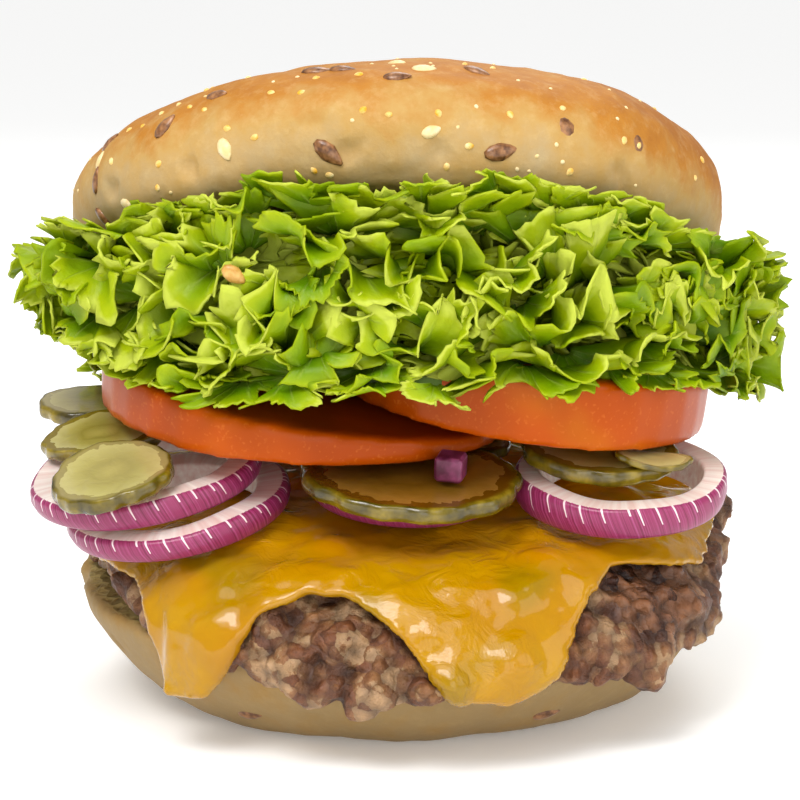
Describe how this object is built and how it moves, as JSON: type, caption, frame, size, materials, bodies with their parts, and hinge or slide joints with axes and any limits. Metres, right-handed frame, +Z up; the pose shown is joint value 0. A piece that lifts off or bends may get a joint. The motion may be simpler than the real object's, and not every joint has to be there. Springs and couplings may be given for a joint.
{
  "type": "cheeseburger",
  "caption": "cheeseburger in a seeded bun: beef patty, melted cheese, red onion rings, pickle and tomato slices and frilly lettuce under a crown that leans back",
  "frame": {"origin": "centre of the flat foot of the bun's heel, where the burger stands", "axes": "+Z up; -Y is the front, where the crown stands open and the lettuce shows; +X to the right seen from the front"},
  "size_m": [0.137, 0.1312, 0.1147],
  "materials": {
    "bun_crust": "baked bread crust, golden on top and pale and floury at the side",
    "beef": "fried minced beef, coarse and crumbly, seared dark on top",
    "cheese": "melted cheddar, smooth and glossy",
    "red_onion": "raw red onion, wet, white where it is cut",
    "pickle": "pickled cucumber, wet, olive skin and paler flesh",
    "tomato": "fresh tomato, smooth orange-red skin, wet where it is cut",
    "lettuce_leaf": "crisp frilly green leaf"
  },
  "bodies": {
    "root": {"bun_heel": "bun_crust", "beef_patty": "beef", "cheese_slice": "cheese", "onion_ring_right": "red_onion", "onion_ring_middle": "red_onion", "onion_ring_front_left": "red_onion", "onion_ring_back_left": "red_onion", "onion_dice": "red_onion", "pickle_middle": "pickle", "pickle_middle_back": "pickle", "pickle_right_lower": "pickle", "pickle_right_upper": "pickle", "pickle_left_front": "pickle", "pickle_left_back": "pickle", "pickle_left_top": "pickle", "tomato_slice_left": "tomato", "tomato_slice_right": "tomato", "lettuce": "lettuce_leaf", "bun_crown": "bun_crust"}
  },
  "joints": []
}
